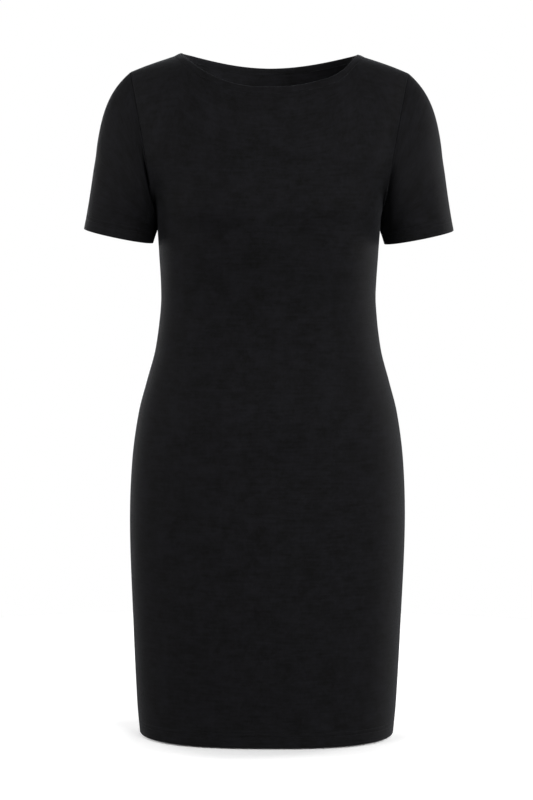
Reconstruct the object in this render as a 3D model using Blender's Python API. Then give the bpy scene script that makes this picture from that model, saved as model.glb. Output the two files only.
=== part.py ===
"""A short-sleeved sheath dress in black double-knit jersey, filled out as it is when worn.

Metres, +Z up. The front faces -Y and the wearer's left is +X. The origin is midway between the two
neck points of the shoulder seams, where the wearer's shoulders hold the dress up. Each sewn piece is
one object: front, back, two sleeves and the binding of the neck. A piece of cloth is a flat grid
mapped to its outer surface and extruded inwards to its wall.
"""

from math import asin, copysign, cos, pi, radians, sin

import bmesh
import bpy
from mathutils import Vector

FRONT = -1
BACK = 1
SIDES = {"front": FRONT, "back": BACK}
HANDS = {"sleeve_left": 1, "sleeve_right": -1}

# Cloth
CLOTH_COLOUR = "191A1C"
CLOTH_ROUGHNESS = 0.85
WALL = 0.0012
HEM_WALL = 0.0024
SEAM_GAP = 0.0003
ARMHOLE_GAP = 0.00055  # wider, as the facets on its two sides don't lie alike
BODY_HEM = 0.020
SLEEVE_HEM = 0.019
HEM_RAMP = 0.001

# The body of the dress, as level rings from the hem to just over the underarm. The ring of the last
# row only gives the slope at the underarm.
HEM_HEIGHT = -0.909
UNDERARM_HEIGHT = -0.214
RINGS = (
    # height, half width, front depth, back depth, roundness
    (HEM_HEIGHT, 0.1713, 0.131, 0.127, 2.55),
    (-0.870, 0.1750, 0.129, 0.129, 2.44),
    (-0.760, 0.1806, 0.125, 0.133, 2.34),
    (-0.630, 0.1854, 0.119, 0.134, 2.30),
    (-0.543, 0.1824, 0.113, 0.127, 2.26),
    (-0.478, 0.1734, 0.107, 0.112, 2.22),
    (-0.435, 0.1624, 0.102, 0.100, 2.20),
    (-0.391, 0.1510, 0.099, 0.091, 2.20),
    (-0.327, 0.1442, 0.101, 0.086, 2.24),
    (-0.263, 0.1469, 0.112, 0.092, 2.34),
    (UNDERARM_HEIGHT, 0.1505, 0.119, 0.101, 2.46),
    (-0.180, 0.1525, 0.121, 0.105, 2.52),
)

# Front and back above the underarm: an upright arch over the shoulder in each plane of x. The arches
# stand on a section across the chest or the shoulder blades, which runs between the armholes. Inside
# the neck only their tops are missing.
NECK_SIDE = Vector((0.1175, 0.0, -0.0015))
SHOULDER_TIP = Vector((0.1853, 0.0, -0.0240))
SHOULDER_CROWN = 0.0018
NECK = {
    # drop of the edge at the middle, power of its curve, top of the middle's arch
    FRONT: (0.0480, 2.5, 0.0105),
    BACK: (0.0125, 1.9, 0.0250),
}
CHEST = {
    # depth, height, roundness, end at the armhole
    FRONT: (0.1155, -0.145, 2.05, (0.1630, 0.066, -0.135)),
    BACK: (0.1085, -0.110, 2.05, (0.1675, 0.060, -0.116)),
}
QUARTER_ROUND = 1.65  # length of a cubic's end directions, in radii, when it turns a quarter circle
ARMHOLE_CORNER = 10  # the higher, the closer to the armhole the columns turn out towards the seam

# Soft fullness of the bust, which the side seams' ease gives the front.
BUST_DEPTH = 0.006
BUST_PLACE = (0.082, -0.196)
BUST_SPREAD = (0.045, 0.055, 0.032)

# Sleeves
CUFF_INNER = Vector((0.1553, 0.0, -0.2520))
CUFF_OUTER = Vector((0.2478, 0.0, -0.2332))
CUFF_HALF_DEPTH = 0.050
CUFF_FRONT_DROP = 0.003
CAP_ANGLE = radians(49.6)
UNDERARM_ANGLE = radians(3)
CUFF_ANGLE = radians(11.4)
CAP_FULLNESS = 0.16
CAP_LEAVING = 0.91
CAP_ARRIVING = (0.9, 1.57)
GAP_TURNS = (1.2, 1.7)  # levels between which the armhole's gap turns from out of the panel to along it
CAP_WALL_TURNS = (0.35, 0.80)  # shares of the way over the arm between which the walls come to share an edge

# Neck binding: a strip folded over the neck edge
BINDING_DEPTH = 0.0080
BINDING_WALL = 0.0010
BINDING_CLEARANCE = 0.0008
BINDING_FOOT_CLEARANCE = 0.0013  # inside its lower edge, where the panels' facets don't lie along it
BINDING_ROUNDING = 0.0004

# Facets. The neck edge takes the columns on each side of the middle up to the shoulder seam.
COLUMNS_EACH_WAY = 12
NECK_COLUMNS_EACH_WAY = 8
NECK_SHARE = NECK_COLUMNS_EACH_WAY / COLUMNS_EACH_WAY
BODY_ROWS = 14
UNDERARM_ROWS = 6
ARCH_ROWS = 8
ARCH_CROWDING = 1.3  # how much closer the rows stand towards the shoulder seam and the neck edge
NECK_CROWDING = 1.35  # the same for the columns of the neck edge, towards the shoulder seam
SLEEVE_ROWS = 8
SMALL = 0.002  # share of a grid over which a surface's slope is measured
SMALL_LENGTH = 0.0002
SHARP_ANGLE = radians(50)
FOOT_STEPS = 3  # of Newton's method, which bring a point onto the arches


def hermite(start, leaving, end, arriving, part):
    """The point at a part of the way along the cubic that leaves and arrives in the directions given."""
    return (
        start * ((1 + 2 * part) * (1 - part) ** 2)
        + leaving * (part * (1 - part) ** 2)
        + end * (part**2 * (3 - 2 * part))
        + arriving * (part**2 * (part - 1))
    )


def ease(value, low, high):
    """0 at low and 1 at high, with a smooth rise between."""
    part = min(max((value - low) / (high - low), 0.0), 1.0)
    return part * part * (3 - 2 * part)


def bell(distance, spread):
    return 2.0 ** -((distance / spread) ** 2)


def row_slope(rows, index, column):
    """How fast a column of the table changes with its first column, at one row."""
    low = rows[max(index - 1, 0)]
    high = rows[min(index + 1, len(rows) - 1)]
    return (high[column] - low[column]) / (high[0] - low[0])


def read_row(rows, height):
    """The columns after the first, on a smooth curve through the table's rows."""
    index = max(k for k in range(len(rows) - 1) if k == 0 or rows[k][0] <= height)
    low, high = rows[index], rows[index + 1]
    gap = high[0] - low[0]
    part = (height - low[0]) / gap
    return [
        hermite(
            low[column],
            row_slope(rows, index, column) * gap,
            high[column],
            row_slope(rows, index + 1, column) * gap,
            part,
        )
        for column in range(1, len(low))
    ]


def ring_point(side, across, height):
    """A point of the level ring at a height: across runs from -1 at one side seam to 1 at the other."""
    half_width, front_depth, back_depth, roundness = read_row(RINGS, height)
    depth = front_depth if side == FRONT else back_depth
    turn = across * pi / 2
    power = 2 / roundness
    return Vector(
        (
            copysign(abs(sin(turn)) ** power, across) * half_width,
            side * depth * max(cos(turn), 0.0) ** power,
            height,
        )
    )


def chest_across(side, across):
    """The x of a column where it passes the section between the armholes."""
    _, _, roundness, (wide, _, _) = CHEST[side]
    half_width = chest_half_width(side)
    turn = asin((wide / half_width) ** (roundness / 2)) * across
    return copysign(abs(sin(turn)) ** (2 / roundness), across) * half_width


def chest_half_width(side):
    depth, _, roundness, (wide, deep, _) = CHEST[side]
    return wide / (1 - (deep / depth) ** roundness) ** (1 / roundness)


def shoulder_height(along):
    """The height of the shoulder seam, from 0 at the neck to 1 at the armhole."""
    straight = NECK_SIDE.z + (SHOULDER_TIP.z - NECK_SIDE.z) * along
    return straight + SHOULDER_CROWN * 4 * along * (1 - along)


def arch(side, x):
    """(depth of the foot, height of the foot, height of the top) of the arch in the plane of x."""
    depth, height, roundness, (wide, _, armhole_height) = CHEST[side]
    size = abs(x)
    foot_depth = depth * (1 - (size / chest_half_width(side)) ** roundness) ** (1 / roundness)
    foot_height = height + (armhole_height - height) * (size / wide) ** 2
    seam = SHOULDER_TIP.x - NECK_SIDE.x
    if size >= NECK_SIDE.x:
        return foot_depth, foot_height, shoulder_height((size - NECK_SIDE.x) / seam)
    falling = (SHOULDER_TIP.z - NECK_SIDE.z + 4 * SHOULDER_CROWN) / seam * NECK_SIDE.x
    top = hermite(NECK[side][2], 0, NECK_SIDE.z, falling, size / NECK_SIDE.x)
    return foot_depth, foot_height, top


def arch_point(side, x, turn):
    """A point of the arch in the plane of x, from its foot at 0 to its top at 90 degrees."""
    depth, foot, top = arch(side, x)
    return Vector((x, side * depth * cos(turn), foot + (top - foot) * sin(turn)))


def arch_miss(side, point):
    """0 on the arches, and less inside them."""
    depth, foot, top = arch(side, point.x)
    return (point.y / depth) ** 2 + ((point.z - foot) / (top - foot)) ** 2 - 1


def arch_gradient(side, point):
    steps = [Vector([SMALL_LENGTH * (k == axis) for k in range(3)]) for axis in range(3)]
    return Vector(
        [
            (arch_miss(side, point + step) - arch_miss(side, point - step)) / (2 * SMALL_LENGTH)
            for step in steps
        ]
    )


def neck_place(side, turn):
    """(x, turn of its arch) on the neck edge, from the middle at 0 to the shoulder seams at +-90 degrees."""
    drop, drop_power, _ = NECK[side]
    x = NECK_SIDE.x * sin(turn)
    _, foot, top = arch(side, x)
    height = NECK_SIDE.z - drop * (1 - abs(sin(turn)) ** drop_power)
    return x, asin(min((height - foot) / (top - foot), 1.0))


def top_place(side, across):
    """(x, turn of its arch) where a column ends on the neck edge or the shoulder seam."""
    if abs(across) <= NECK_SHARE:
        return neck_place(side, across / NECK_SHARE * pi / 2)
    along = (abs(across) - NECK_SHARE) / (1 - NECK_SHARE)
    return copysign(NECK_SIDE.x + (SHOULDER_TIP.x - NECK_SIDE.x) * along, across), pi / 2


def upper_point(side, across, part):
    """A point of a column between the section across the chest, at 0, and the top edge, at 1."""
    low = chest_across(side, across)
    high, last_turn = top_place(side, across)
    turn = last_turn * part
    return arch_point(side, low + (high - low) * sin(turn) / sin(last_turn), turn)


def yoke_point(side, across, rise):
    """A point above the underarm, from 0 on the underarm's ring to 1 at the top edge."""
    if rise >= 0.5:
        return upper_point(side, across, 2 * rise - 1)
    start, middle = ring_point(side, across, UNDERARM_HEIGHT), upper_point(side, across, 0)
    upward = (start - ring_point(side, across, UNDERARM_HEIGHT - SMALL_LENGTH)).normalized()
    onward = (upper_point(side, across, SMALL) - middle).normalized()
    forward = Vector((0, side * abs(middle.y), 0))
    corner = abs(across) ** ARMHOLE_CORNER
    reach = (middle - start).length * (1 - corner)
    leaving = upward * reach + forward * QUARTER_ROUND * corner
    arriving = onward * (reach + (middle.z - start.z) * QUARTER_ROUND * corner)
    return hermite(start, leaving, middle, arriving, 2 * rise)


def bust(side, point):
    """How far the bust carries the front forwards."""
    if side == BACK:
        return 0.0
    spread_across, spread_up, spread_down = BUST_SPREAD
    above = point.z - BUST_PLACE[1]
    return (
        BUST_DEPTH
        * bell(abs(point.x) - BUST_PLACE[0], spread_across)
        * bell(above, spread_up if above > 0 else spread_down)
    )


def body_point(side, across, level):
    """A point of a panel: level runs from 0 at the hem through 1 at the underarm to 2 at the top."""
    if level <= 1:
        height = HEM_HEIGHT + (UNDERARM_HEIGHT - HEM_HEIGHT) * level
        point = ring_point(side, across, height)
    else:
        point = yoke_point(side, across, level - 1)
    point.y += side * (bust(side, point) * (1 - across**6) + SEAM_GAP / 2)
    return point


def crowded(step):
    """A column's share of the way from the middle to the shoulder seam, along the neck edge."""
    return copysign(1 - (1 - abs(step) / NECK_COLUMNS_EACH_WAY) ** NECK_CROWDING, step)


def across_of(column):
    step = column - COLUMNS_EACH_WAY
    if abs(step) > NECK_COLUMNS_EACH_WAY:
        return step / COLUMNS_EACH_WAY
    return crowded(step) * NECK_SHARE


def yoke_levels():
    """The rows of a panel above the underarm, which are also where the sleeve's columns start."""
    lower = [1 + k / UNDERARM_ROWS / 2 for k in range(1, UNDERARM_ROWS + 1)]
    upper = [2 - (1 - k / ARCH_ROWS) ** ARCH_CROWDING / 2 for k in range(1, ARCH_ROWS + 1)]
    return lower + upper


def body_levels():
    """The rows of a panel, with two at the edge of the turned-up hem."""
    body_height = UNDERARM_HEIGHT - HEM_HEIGHT
    hem = BODY_HEM / body_height
    levels = [0.0, (BODY_HEM - HEM_RAMP) / body_height, hem]
    levels += [hem + (1 - hem) * k / BODY_ROWS for k in range(1, BODY_ROWS + 1)]
    return levels + yoke_levels()


def outward(surface, first, second, limits):
    """The outward normal of a surface(first, second), measured inside its limits."""
    low_1, high_1 = max(first - SMALL, limits[0]), min(first + SMALL, limits[1])
    low_2, high_2 = max(second - SMALL, limits[2]), min(second + SMALL, limits[3])
    run = surface(high_1, second) - surface(low_1, second)
    rise = surface(first, high_2) - surface(first, low_2)
    return run.cross(rise).normalized()


def body_outward(side, across, level):
    """The outward normal of a panel. At the underarm it is the side seam's, below the armhole."""
    lowest, highest = (0, 1) if level <= 1 else (1, 2)
    normal = outward(
        lambda s, t: body_point(side, s, t), across, level, (-1, 1, lowest, highest)
    )
    return -side * normal


def armhole_place(round_):
    """The panel, across and level where the wearer's left armhole is this far round from the underarm."""
    if round_ <= 0.5:
        return FRONT, 1.0, 1 + 2 * round_
    return BACK, 1.0, 3 - 2 * round_


def cuff_point(round_):
    """The sleeve's lower edge, this far round from the inner side, over the front."""
    turn = 2 * pi * round_
    middle = (CUFF_INNER + CUFF_OUTER) / 2
    point = middle - (CUFF_OUTER - CUFF_INNER) / 2 * cos(turn)
    return point - Vector((0, CUFF_HALF_DEPTH, CUFF_FRONT_DROP)) * sin(turn)


def sleeve_point(round_, down):
    """A point of the wearer's left sleeve: down runs from 0 at the armhole to 1 at the cuff."""
    turn = 2 * pi * round_
    over = (1 - cos(turn)) / 2
    side, across, level = armhole_place(round_ % 1)
    above = ease(level, *GAP_TURNS)
    away = body_outward(side, across, level) * (1 - above) + Vector((above, 0, 0))
    start = yoke_point(side, across, level - 1) + away.normalized() * ARMHOLE_GAP
    end = cuff_point(round_)
    length = (end - start).length
    angle = UNDERARM_ANGLE + (CAP_ANGLE - UNDERARM_ANGLE) * over
    leaving = Vector((sin(angle), -sin(turn) * CAP_FULLNESS, -cos(angle))) * length * CAP_LEAVING
    arriving = CAP_ARRIVING[0] + (CAP_ARRIVING[1] - CAP_ARRIVING[0]) * over
    along_arm = Vector((sin(CUFF_ANGLE), 0, -cos(CUFF_ANGLE))) * length * arriving
    return hermite(start, leaving, end, along_arm, down)


def sleeve_rounds():
    """The columns of a sleeve: one for each row of the panels above the underarm."""
    over_front = [0.0] + [(level - 1) / 2 for level in yoke_levels()]
    return over_front + [1 - part for part in reversed(over_front[1:-1])]


def sleeve_levels():
    """The rows of a sleeve, with a row at the edge of the turned-up hem."""
    cap_length = (CUFF_OUTER - SHOULDER_TIP).length
    hem = 1 - SLEEVE_HEM / cap_length
    return [hem * k / SLEEVE_ROWS for k in range(SLEEVE_ROWS + 1)] + [hem + HEM_RAMP / cap_length, 1.0]


def sleeve_outward(round_, down):
    return -outward(sleeve_point, round_, down, (round_ - SMALL, round_ + SMALL, 0, 1))


def shared_inward(round_, own):
    """The way a wall runs inwards at the armhole: at the cap, halfway between body and sleeve."""
    body = body_outward(*armhole_place(round_))
    halfway = (body + sleeve_outward(round_, 0)).normalized()
    over = ease((1 - cos(2 * pi * round_)) / 2, *CAP_WALL_TURNS)
    return -(own * (1 - over) + halfway * over).normalized()


def cloth_material(name, hex_colour, roughness):
    """A matte dyed cloth of one colour."""
    colour = [int(hex_colour[k : k + 2], 16) / 255 for k in (0, 2, 4)]
    linear = [c / 12.92 if c <= 0.04045 else ((c + 0.055) / 1.055) ** 2.4 for c in colour]
    material = bpy.data.materials.new(name)
    material.use_nodes = True
    shader = material.node_tree.nodes["Principled BSDF"]
    shader.inputs["Base Color"].default_value = (*linear, 1)
    shader.inputs["Roughness"].default_value = roughness
    shader.inputs["Metallic"].default_value = 0
    return material


def add_object(name, mesh_bm):
    """Makes a named object of a mesh, with its own material."""
    bmesh.ops.recalc_face_normals(mesh_bm, faces=mesh_bm.faces)
    mesh = bpy.data.meshes.new(name)
    mesh_bm.to_mesh(mesh)
    mesh_bm.free()
    mesh.materials.append(cloth_material(f"double_knit_{name}", CLOTH_COLOUR, CLOTH_ROUGHNESS))
    mesh.shade_smooth()
    mesh.set_sharp_from_angle(angle=SHARP_ANGLE)
    bpy.context.scene.collection.objects.link(bpy.data.objects.new(name, mesh))


def grid(columns, rows, place, wraps):
    """A mesh of a flat grid whose vertices keep their column and row, its wrapped edges joined."""
    mesh_bm = bmesh.new()
    bmesh.ops.create_grid(mesh_bm, x_segments=columns, y_segments=rows, size=1)
    layers = [mesh_bm.verts.layers.int.new(name) for name in ("column", "row")]
    counts = (columns, rows)
    for vertex in mesh_bm.verts:
        for axis in (0, 1):
            step = round((vertex.co[axis] + 1) / 2 * counts[axis])
            vertex[layers[axis]] = step % counts[axis] if wraps[axis] else step
    for vertex in mesh_bm.verts:
        vertex.co = place(*(vertex[layer] for layer in layers))
    if any(wraps):
        bmesh.ops.remove_doubles(mesh_bm, verts=mesh_bm.verts, dist=SEAM_GAP / 10)
    return mesh_bm, layers


def give_wall(mesh_bm, layers, inward):
    """Closes a sheet into a wall whose inner side is inward(column, row) from its outer side."""
    shell = bmesh.ops.extrude_face_region(mesh_bm, geom=mesh_bm.faces[:], use_keep_orig=True)
    for vertex in shell["geom"]:
        if isinstance(vertex, bmesh.types.BMVert):
            vertex.co += inward(*(vertex[layer] for layer in layers))


def add_panel(name, side):
    """The front or the back, from the hem to the shoulder seams and neck edge."""
    levels = body_levels()
    last = len(levels) - 1

    def place(column, row):
        across = across_of(column)
        return body_point(side, across, levels[row])

    def inward(column, row):
        across = across_of(column)
        level = levels[row]
        direction = -body_outward(side, across, level)
        if abs(across) == 1 and level > 1:
            round_ = (level - 1) / 2
            left = shared_inward(
                round_ if side == FRONT else 1 - round_, body_outward(side, 1.0, level)
            )
            direction = Vector((left.x * across, left.y, left.z))
        return direction * (HEM_WALL if row < 2 else WALL)

    mesh_bm, layers = grid(2 * COLUMNS_EACH_WAY, last, place, (False, False))
    give_wall(mesh_bm, layers, inward)
    add_object(name, mesh_bm)


def add_sleeve(name, hand):
    """A set-in short sleeve, from the armhole to its cuff."""
    levels = sleeve_levels()
    rounds = sleeve_rounds()
    last = len(levels) - 1
    mirror = Vector((hand, 1, 1))

    def place(column, row):
        return sleeve_point(rounds[column], levels[row]) * mirror

    def inward(column, row):
        own = sleeve_outward(rounds[column], levels[row])
        direction = -own if row else shared_inward(rounds[column], own)
        return direction * mirror * (HEM_WALL if row >= last - 1 else WALL)

    mesh_bm, layers = grid(len(rounds), last, place, (True, False))
    give_wall(mesh_bm, layers, inward)
    add_object(name, mesh_bm)


def seam_frame(hand):
    """The binding's frame at a shoulder seam, as neck_frame gives it."""
    low = NECK_SIDE.x + BINDING_DEPTH
    along = BINDING_DEPTH / (SHOULDER_TIP.x - NECK_SIDE.x)
    edge, foot = NECK_SIDE.copy(), Vector((low, 0, shoulder_height(along)))
    run = (foot - edge).normalized()
    normal = Vector((-run.z, 0, run.x))
    mirror = Vector((hand, 1, 1))
    return edge * mirror, foot * mirror, normal * mirror, normal * mirror


def neck_frame(side, turn):
    """A point of the neck edge, the one square below it at the binding's lower edge, and both normals."""
    edge = arch_point(side, *neck_place(side, turn))
    ends = [arch_point(side, *neck_place(side, turn + step)) for step in (-SMALL, SMALL)]
    normal = arch_gradient(side, edge).normalized()
    downward = (ends[1] - ends[0]).cross(normal).normalized() * -side
    foot = edge + downward * BINDING_DEPTH
    for _ in range(FOOT_STEPS):
        gradient = arch_gradient(side, foot)
        foot -= gradient * (arch_miss(side, foot) / gradient.length_squared)
    shift = Vector((0, side * SEAM_GAP / 2, 0))
    return edge + shift, foot + shift, normal, arch_gradient(side, foot).normalized()


def neck_frames():
    """The binding's frames in one round of the neck edge."""
    count = NECK_COLUMNS_EACH_WAY
    frames = []
    for side in (FRONT, BACK):
        frames.append(seam_frame(side))
        turns = [-side * crowded(step) * pi / 2 for step in range(1 - count, count)]
        frames += [neck_frame(side, turn) for turn in turns]
    return frames


def add_binding(name):
    """The strip folded over the neck edge: a U in section, closed round the neck."""
    inner = WALL + BINDING_CLEARANCE
    low_inner = WALL + BINDING_FOOT_CLEARANCE
    outer = BINDING_CLEARANCE + BINDING_WALL
    corner = BINDING_ROUNDING
    # Each corner of the section: how far out of the panel's surface, how far past its edge, and
    # whether it is at the strip's lower edge.
    section = (
        (BINDING_CLEARANCE, 0, True),
        (outer, 0, True),
        (outer, outer - corner, False),
        (outer - corner, outer, False),
        (corner - inner - BINDING_WALL, outer, False),
        (-inner - BINDING_WALL, outer - corner, False),
        (-low_inner - BINDING_WALL, 0, True),
        (-low_inner, 0, True),
        (-inner, BINDING_CLEARANCE, False),
        (BINDING_CLEARANCE, BINDING_CLEARANCE, False),
    )
    frames = neck_frames()

    def place(column, row):
        edge, foot, edge_normal, foot_normal = frames[column]
        out, past, low = section[row]
        if low:
            return foot + out * foot_normal
        return edge + past * (edge - foot).normalized() + out * edge_normal

    mesh_bm, _ = grid(len(frames), len(section), place, (True, True))
    add_object(name, mesh_bm)


def main():
    for leftover in list(bpy.data.objects):
        bpy.data.objects.remove(leftover)
    for name, side in SIDES.items():
        add_panel(name, side)
    for name, hand in HANDS.items():
        add_sleeve(name, hand)
    add_binding("neck_binding")


main()
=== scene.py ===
"""A short-sleeved sheath dress in black double-knit jersey, filled out as it is when worn.

Metres, +Z up. The front faces -Y and the wearer's left is +X. The origin is midway between the two
neck points of the shoulder seams. Each sewn piece is a thin shell of cloth on the form of its solid:
front, back, two set-in sleeves and the binding of the neck. Their hems are turned up inside and
stitched with a twin needle, and their seam edges roll in and stand inside as narrow allowances.
"""

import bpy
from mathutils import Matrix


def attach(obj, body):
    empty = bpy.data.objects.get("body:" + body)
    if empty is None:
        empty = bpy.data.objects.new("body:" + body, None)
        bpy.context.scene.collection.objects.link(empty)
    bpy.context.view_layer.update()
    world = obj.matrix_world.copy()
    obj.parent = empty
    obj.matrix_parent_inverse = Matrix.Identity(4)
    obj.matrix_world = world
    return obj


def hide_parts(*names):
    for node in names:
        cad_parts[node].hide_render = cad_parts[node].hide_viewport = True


bl_info = {
    "name": "Sheath dress",
    "version": (1, 0, 0),
    "blender": (4, 5, 0),
    "location": "3D View > Sidebar > Dress",
    "description": "Makes a short-sleeved sheath dress of black double-knit jersey, piece by piece",
    "category": "Add Mesh",
}

from bisect import bisect_right
from functools import partial
from math import asin, copysign, cos, pi, radians, sin

import bmesh
import bpy
from mathutils import Matrix, Vector

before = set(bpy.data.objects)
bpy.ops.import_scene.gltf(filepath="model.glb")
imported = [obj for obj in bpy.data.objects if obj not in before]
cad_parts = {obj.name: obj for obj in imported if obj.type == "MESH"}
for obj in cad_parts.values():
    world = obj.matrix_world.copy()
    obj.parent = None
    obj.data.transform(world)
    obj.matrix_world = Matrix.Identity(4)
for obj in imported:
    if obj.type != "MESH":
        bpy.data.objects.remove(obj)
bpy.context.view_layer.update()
BODY = "root"
MM = 0.001

FRONT = -1
BACK = 1
SIDES = {"front": FRONT, "back": BACK}
HANDS = {"sleeve_left": 1, "sleeve_right": -1}
MIRROR = Vector((-1, 1, 1))

# ---- The form: the same surfaces as the solids have ----

SEAM_GAP = 0.0003  # between the front's edges and the back's
SEAM_LEAN = 0.00018  # a little over half the gap
ARMHOLE_GAP = 0.0002  # between the panels' edges and the sleeves'
HEM_HEIGHT = -0.909
UNDERARM_HEIGHT = -0.214
BODY_HEIGHT = UNDERARM_HEIGHT - HEM_HEIGHT
CHEST_LEVEL = 1.5  # where a panel passes the chest, between 1 at the underarm and 2 at the top
RINGS = (
    # height, half width, front depth, back depth, roundness
    (HEM_HEIGHT, 0.1713, 0.131, 0.127, 2.55),
    (-0.870, 0.1750, 0.129, 0.129, 2.44),
    (-0.760, 0.1806, 0.125, 0.133, 2.34),
    (-0.630, 0.1854, 0.119, 0.134, 2.30),
    (-0.543, 0.1824, 0.113, 0.127, 2.26),
    (-0.478, 0.1734, 0.107, 0.112, 2.22),
    (-0.435, 0.1624, 0.102, 0.100, 2.20),
    (-0.391, 0.1510, 0.099, 0.091, 2.20),
    (-0.327, 0.1442, 0.101, 0.086, 2.24),
    (-0.263, 0.1469, 0.112, 0.092, 2.34),
    (UNDERARM_HEIGHT, 0.1505, 0.119, 0.101, 2.46),
    (-0.180, 0.1525, 0.121, 0.105, 2.52),
)
NECK_SIDE = Vector((0.1175, 0.0, -0.0015))
SHOULDER_TIP = Vector((0.1853, 0.0, -0.0240))
SHOULDER_CROWN = 0.0018  # how far its middle rises over a straight line
NECK = {
    # drop of the edge at the middle, power of its curve, top of the middle's arch
    FRONT: (0.0480, 2.5, 0.0105),
    BACK: (0.0125, 1.9, 0.0250),
}
CHEST = {
    # depth, height, roundness, end at the armhole
    FRONT: (0.1155, -0.145, 2.05, (0.1630, 0.066, -0.135)),
    BACK: (0.1085, -0.110, 2.05, (0.1675, 0.060, -0.116)),
}
QUARTER_ROUND = 1.65  # how long the directions of a quarter circle's cubic are
ARMHOLE_CORNER = 10  # how sharply the rounding at the armhole ends beside it
BUST_DEPTH = 0.006
BUST_PLACE = (0.082, -0.196)  # across and height
BUST_SPREAD = (0.045, 0.055, 0.032)  # across, up and down
CUFF_INNER = Vector((0.1553, 0.0, -0.2520))
CUFF_OUTER = Vector((0.2478, 0.0, -0.2332))
CUFF_HALF_DEPTH = 0.050
CUFF_FRONT_DROP = 0.003
CAP_ANGLE = radians(49.6)
UNDERARM_ANGLE = radians(3)
CUFF_ANGLE = radians(11.4)
CAP_FULLNESS = 0.16
CAP_LEAVING = 0.91  # a share of the sleeve's length, as are the next two
CAP_ARRIVING = (0.9, 1.57)  # under the arm and over it
GAP_TURNS = (1.2, 1.7)  # levels between which the armhole's gap turns sideways
NECK_SHARE = 8 / 12  # how far across the neck point is
SMALL = 0.002  # a step across, up or round, to measure directions with
SMALL_LENGTH = 0.0002
SMALLEST = 1e-12
FOOT_STEPS = 3  # back onto the arches


def hermite(start, leaving, end, arriving, part):
    """The point at a part of the way along the cubic that leaves and arrives in the directions given."""
    return (
        start * ((1 + 2 * part) * (1 - part) ** 2)
        + leaving * (part * (1 - part) ** 2)
        + end * (part**2 * (3 - 2 * part))
        + arriving * (part**2 * (part - 1))
    )


def ease(value, low, high):
    """0 at low and 1 at high, with a smooth rise between."""
    part = min(max((value - low) / (high - low), 0.0), 1.0)
    return part * part * (3 - 2 * part)


def bell(distance, spread):
    """1 at no distance, and half at the spread."""
    return 2.0 ** -((distance / spread) ** 2)


def row_slope(rows, index, column):
    """How fast a column of the table changes with its first column, at one row."""
    low = rows[max(index - 1, 0)]
    high = rows[min(index + 1, len(rows) - 1)]
    return (high[column] - low[column]) / (high[0] - low[0])


def read_row(rows, height):
    """The columns after the first, on a smooth curve through the table's rows."""
    index = max(k for k in range(len(rows) - 1) if k == 0 or rows[k][0] <= height)
    low, high = rows[index], rows[index + 1]
    gap = high[0] - low[0]
    part = (height - low[0]) / gap
    values = []
    for column in range(1, len(low)):
        leaving, arriving = (row_slope(rows, k, column) * gap for k in (index, index + 1))
        values.append(hermite(low[column], leaving, high[column], arriving, part))
    return values


def ring_point(side, across, height):
    """A point of the level ring at a height: across runs from -1 at one side seam to 1 at the other."""
    half_width, front_depth, back_depth, roundness = read_row(RINGS, height)
    depth = front_depth if side == FRONT else back_depth
    turn = across * pi / 2
    power = 2 / roundness
    x = copysign(abs(sin(turn)) ** power, across) * half_width
    return Vector((x, side * depth * max(cos(turn), 0.0) ** power, height))


def chest_half_width(side):
    depth, _, roundness, (wide, deep, _) = CHEST[side]
    return wide / (1 - (deep / depth) ** roundness) ** (1 / roundness)


def chest_across(side, across):
    """The x of a column where it passes the section between the armholes."""
    _, _, roundness, (wide, _, _) = CHEST[side]
    half_width = chest_half_width(side)
    turn = asin((wide / half_width) ** (roundness / 2)) * across
    return copysign(abs(sin(turn)) ** (2 / roundness), across) * half_width


def shoulder_height(along):
    """The height of the shoulder seam, from 0 at the neck to 1 at the armhole."""
    straight = NECK_SIDE.z + (SHOULDER_TIP.z - NECK_SIDE.z) * along
    return straight + SHOULDER_CROWN * 4 * along * (1 - along)


def arch(side, x):
    """(depth of the foot, height of the foot, height of the top) of the arch in the plane of x."""
    depth, height, roundness, (wide, _, armhole_height) = CHEST[side]
    size = abs(x)
    foot_depth = depth * (1 - (size / chest_half_width(side)) ** roundness) ** (1 / roundness)
    foot_height = height + (armhole_height - height) * (size / wide) ** 2
    seam = SHOULDER_TIP.x - NECK_SIDE.x
    if size >= NECK_SIDE.x:
        return foot_depth, foot_height, shoulder_height((size - NECK_SIDE.x) / seam)
    falling = (SHOULDER_TIP.z - NECK_SIDE.z + 4 * SHOULDER_CROWN) / seam * NECK_SIDE.x
    top = hermite(NECK[side][2], 0, NECK_SIDE.z, falling, size / NECK_SIDE.x)
    return foot_depth, foot_height, top


def arch_point(side, x, turn):
    """A point of the arch in the plane of x, from its foot at 0 to its top at 90 degrees."""
    depth, foot, top = arch(side, x)
    return Vector((x, side * depth * cos(turn), foot + (top - foot) * sin(turn)))


def arch_miss(side, point):
    """0 on the arches, and less inside them."""
    depth, foot, top = arch(side, point.x)
    return (point.y / depth) ** 2 + ((point.z - foot) / (top - foot)) ** 2 - 1


def arch_gradient(side, point):
    gradient = []
    for axis in range(3):
        step = Vector([SMALL_LENGTH * (k == axis) for k in range(3)])
        change = arch_miss(side, point + step) - arch_miss(side, point - step)
        gradient.append(change / (2 * SMALL_LENGTH))
    return Vector(gradient)


def neck_place(side, turn):
    """(x, turn of its arch) on the neck edge, from the middle at 0 to the shoulder seams at +-90 degrees."""
    drop, drop_power, _ = NECK[side]
    x = NECK_SIDE.x * sin(turn)
    _, foot, top = arch(side, x)
    height = NECK_SIDE.z - drop * (1 - abs(sin(turn)) ** drop_power)
    return x, asin(min((height - foot) / (top - foot), 1.0))


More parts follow.
